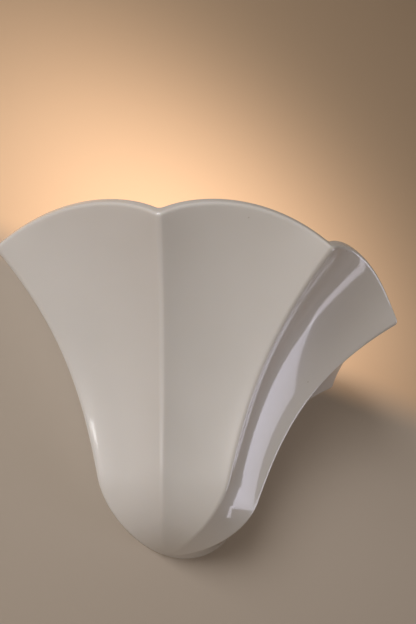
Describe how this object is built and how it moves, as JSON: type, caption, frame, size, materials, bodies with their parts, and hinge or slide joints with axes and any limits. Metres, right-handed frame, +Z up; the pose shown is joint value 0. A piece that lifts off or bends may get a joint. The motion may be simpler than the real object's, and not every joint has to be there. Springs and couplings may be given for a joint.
{
  "type": "shell wall sconce",
  "caption": "Half-bell ceramic uplighter with concave flutes and a scalloped rim, hung on a steel wall bracket that carries a small screw-cap lamp.",
  "frame": {"origin": "on the wall plane, midway between the two wall screws of the bracket", "axes": "+X to the right as seen from the room, +Y into the wall, +Z up; the sconce lies on the -Y side"},
  "size_m": [0.2998, 0.1499, 0.1874],
  "materials": {
    "glaze": "warm white gloss glaze",
    "zinc_steel": "zinc plated steel",
    "stud_steel": "zinc plated steel, threaded",
    "silicone": "translucent silicone rubber",
    "brass": "turned brass, satin",
    "nipple_brass": "threaded brass",
    "holder_white": "white thermoplastic",
    "block_white": "white polyamide",
    "steatite": "unglazed steatite",
    "contact_nickel": "nickel plated brass",
    "contact_bronze": "phosphor bronze",
    "grommet_black": "black rubber",
    "wire_brown": "brown insulation",
    "wire_blue": "blue insulation",
    "wire_earth": "green and yellow insulation",
    "lug_tin": "tinned copper",
    "cap_nickel": "nickel plated cap",
    "lamp_glass_black": "black glass insulator",
    "lamp_plastic": "white plastic",
    "board": "white coated aluminium board",
    "led_phosphor": "yellow phosphor",
    "driver_green": "green circuit board",
    "opal": "opal diffuser, lit"
  },
  "bodies": {
    "fixture": {"shade": "glaze", "wall_bracket": "zinc_steel", "shade_studs": "stud_steel", "rear_cushions": "silicone", "front_cushions": "silicone", "lamp_arm": "zinc_steel", "arm_screws": "stud_steel", "nipple": "nipple_brass", "nipple_washer": "zinc_steel", "nipple_nut": "brass", "lampholder_base": "holder_white", "lampholder_insert": "steatite", "lampholder_shell": "holder_white", "thread_sleeve": "contact_nickel", "centre_contact": "contact_bronze", "side_contact": "contact_bronze", "holder_terminals": "brass", "holder_terminal_screws": "stud_steel", "cable_grommet": "grommet_black", "terminal_block": "block_white", "terminal_clamps": "brass", "terminal_screws": "stud_steel", "block_screw": "stud_steel", "earth_washer": "zinc_steel", "earth_lug": "lug_tin", "earth_screw": "brass", "live_wire": "wire_brown", "neutral_wire": "wire_blue", "earth_wire": "wire_earth"},
    "left_washer": {"nut_washer_left": "zinc_steel"},
    "left_nut": {"thumb_nut_left": "brass"},
    "right_washer": {"nut_washer_right": "zinc_steel"},
    "right_nut": {"thumb_nut_right": "brass"},
    "bulb_axis": {"bulb_tip": "brass"},
    "bulb": {"bulb_cap": "cap_nickel", "bulb_insulator": "lamp_glass_black", "bulb_housing": "lamp_plastic", "bulb_board": "board", "bulb_leds": "led_phosphor", "bulb_driver": "driver_green", "bulb_globe": "opal"}
  },
  "joints": [
    {"name": "bulb_rise", "type": "slide", "parent": "fixture", "child": "bulb_axis", "axis": [0, 0, 1], "range_m": [0, 0.00847]},
    {"name": "bulb_turn", "type": "hinge", "parent": "bulb_axis", "child": "bulb", "pos_m": [0, -0.035, 0], "axis": [0, 0, 1], "range_deg": [0, 1085]},
    {"name": "left_washer_slide", "type": "slide", "parent": "fixture", "child": "left_washer", "axis": [0, -1, 0], "range_m": [0, 0.006]},
    {"name": "left_nut_turn", "type": "hinge", "parent": "left_washer", "child": "left_nut", "pos_m": [-0.049, -0.0149, 0.006], "axis": [0, -1, 0], "range_deg": [0, 2705]},
    {"name": "right_washer_slide", "type": "slide", "parent": "fixture", "child": "right_washer", "axis": [0, -1, 0], "range_m": [0, 0.006]},
    {"name": "right_nut_turn", "type": "hinge", "parent": "right_washer", "child": "right_nut", "pos_m": [0.049, -0.0149, 0.006], "axis": [0, -1, 0], "range_deg": [0, 2705]}
  ],
  "couplings": [
    {"joint": "bulb_turn", "follows": "bulb_rise", "rad_per_m": 2226.5},
    {"joint": "left_nut_turn", "follows": "left_washer_slide", "rad_per_m": 7854},
    {"joint": "right_nut_turn", "follows": "right_washer_slide", "rad_per_m": 7854}
  ]
}
